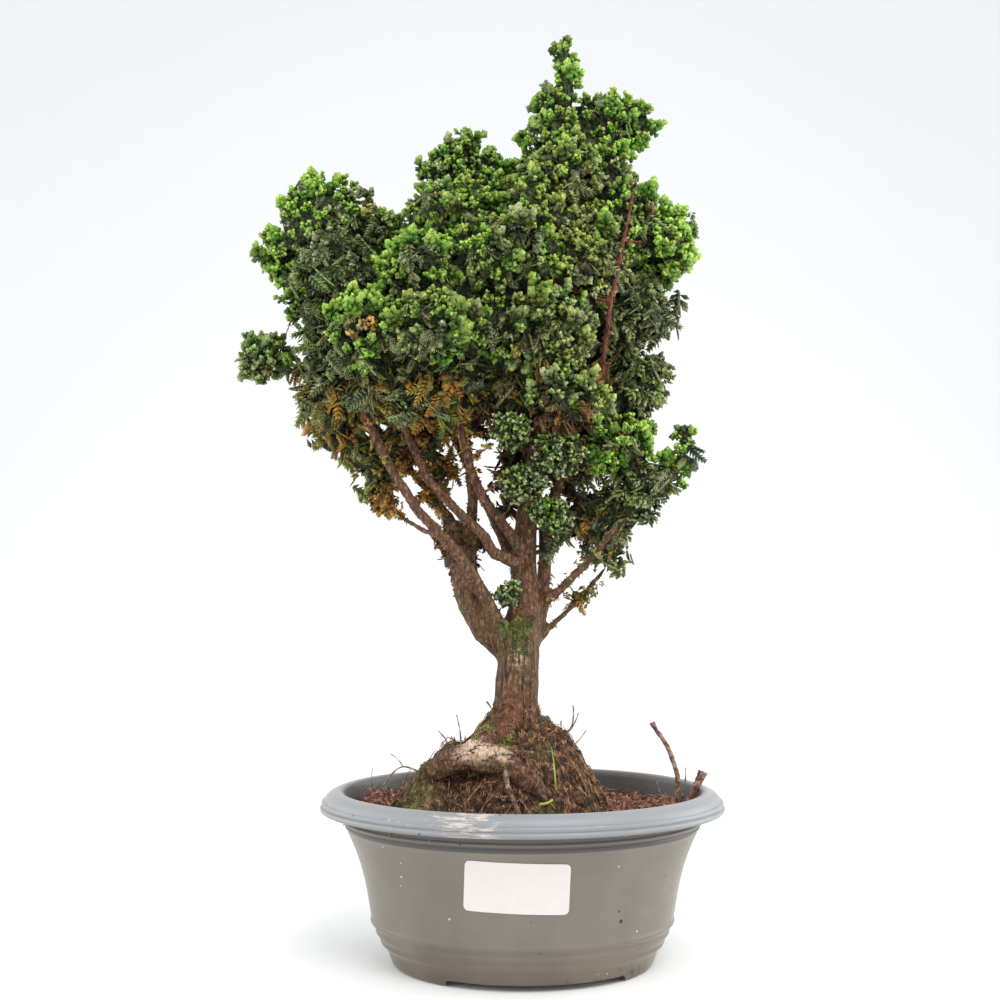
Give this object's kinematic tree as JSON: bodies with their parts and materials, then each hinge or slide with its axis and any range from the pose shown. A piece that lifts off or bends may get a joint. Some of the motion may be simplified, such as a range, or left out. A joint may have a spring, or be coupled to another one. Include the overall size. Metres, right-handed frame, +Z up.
{
  "type": "hinoki cypress bonsai in a plastic training pot",
  "caption": "Dwarf hinoki cypress with clumped scale foliage on a forked trunk, rooted in a heap of old soil inside an oval plastic training pot with a rolled rim.",
  "frame": {"origin": "on the ground under the middle of the whole object's outline", "axes": "+Z up the trunk, +X along the pot's long side to the viewer's right, -Y towards the pot's front with the label"},
  "size_m": [0.2618, 0.1616, 0.4895],
  "materials": {
    "pot": "matte",
    "label": "matte",
    "soil": "matte",
    "heap": "matte",
    "bark": "matte",
    "stick": "matte",
    "grass": "matte",
    "foliage_bright": "matte",
    "foliage_olive": "matte",
    "foliage_bronze": "matte"
  },
  "bodies": {
    "root": {"cut_stub": "stick", "dead_stick": "stick", "grass_blade": "grass", "label": "label", "pot": "pot", "root_ball": "heap", "soil": "soil", "spray_branch_tip": "foliage_bright", "spray_centre": "foliage_bright", "spray_centre_bronze": "foliage_bronze", "spray_centre_hanging": "foliage_olive", "spray_centre_inner": "foliage_olive", "spray_centre_left": "foliage_bright", "spray_centre_left_low": "foliage_bright", "spray_centre_low": "foliage_bright", "spray_centre_lower": "foliage_bright", "spray_centre_right": "foliage_bright", "spray_crown_top": "foliage_bright", "spray_dry_sprig": "foliage_bronze", "spray_far_left_low": "foliage_bright", "spray_far_left_middle": "foliage_bright", "spray_far_left_upper": "foliage_bright", "spray_inner_bronze": "foliage_bronze", "spray_knob_bottom": "foliage_bright", "spray_knob_lower": "foliage_bright", "spray_knob_middle": "foliage_bright", "spray_knob_upper": "foliage_bright", "spray_left_bright": "foliage_bright", "spray_left_centre": "foliage_bright", "spray_left_centre_top": "foliage_bright", "spray_left_hanging": "foliage_olive", "spray_left_middle": "foliage_olive", "spray_left_shoulder": "foliage_bright", "spray_left_top": "foliage_bright", "spray_low_sprig": "foliage_bronze", "spray_lower_bronze": "foliage_bronze", "spray_lower_left": "foliage_olive", "spray_rear_centre": "foliage_olive", "spray_rear_far_left": "foliage_bright", "spray_rear_left": "foliage_bright", "spray_rear_left_low": "foliage_olive", "spray_rear_low": "foliage_olive", "spray_rear_right": "foliage_bright", "spray_rear_right_low": "foliage_olive", "spray_rear_top": "foliage_bright", "spray_right_bottom": "foliage_olive", "spray_right_clump": "foliage_bright", "spray_right_hanging": "foliage_olive", "spray_right_inner": "foliage_olive", "spray_right_low": "foliage_bright", "spray_right_lower": "foliage_olive", "spray_right_middle": "foliage_olive", "spray_right_shoulder": "foliage_bright", "spray_right_top": "foliage_bright", "spray_spire": "foliage_bright", "spray_spire_tip": "foliage_bright", "spray_trunk_sprig": "foliage_bright", "wood": "bark"}
  },
  "joints": []
}
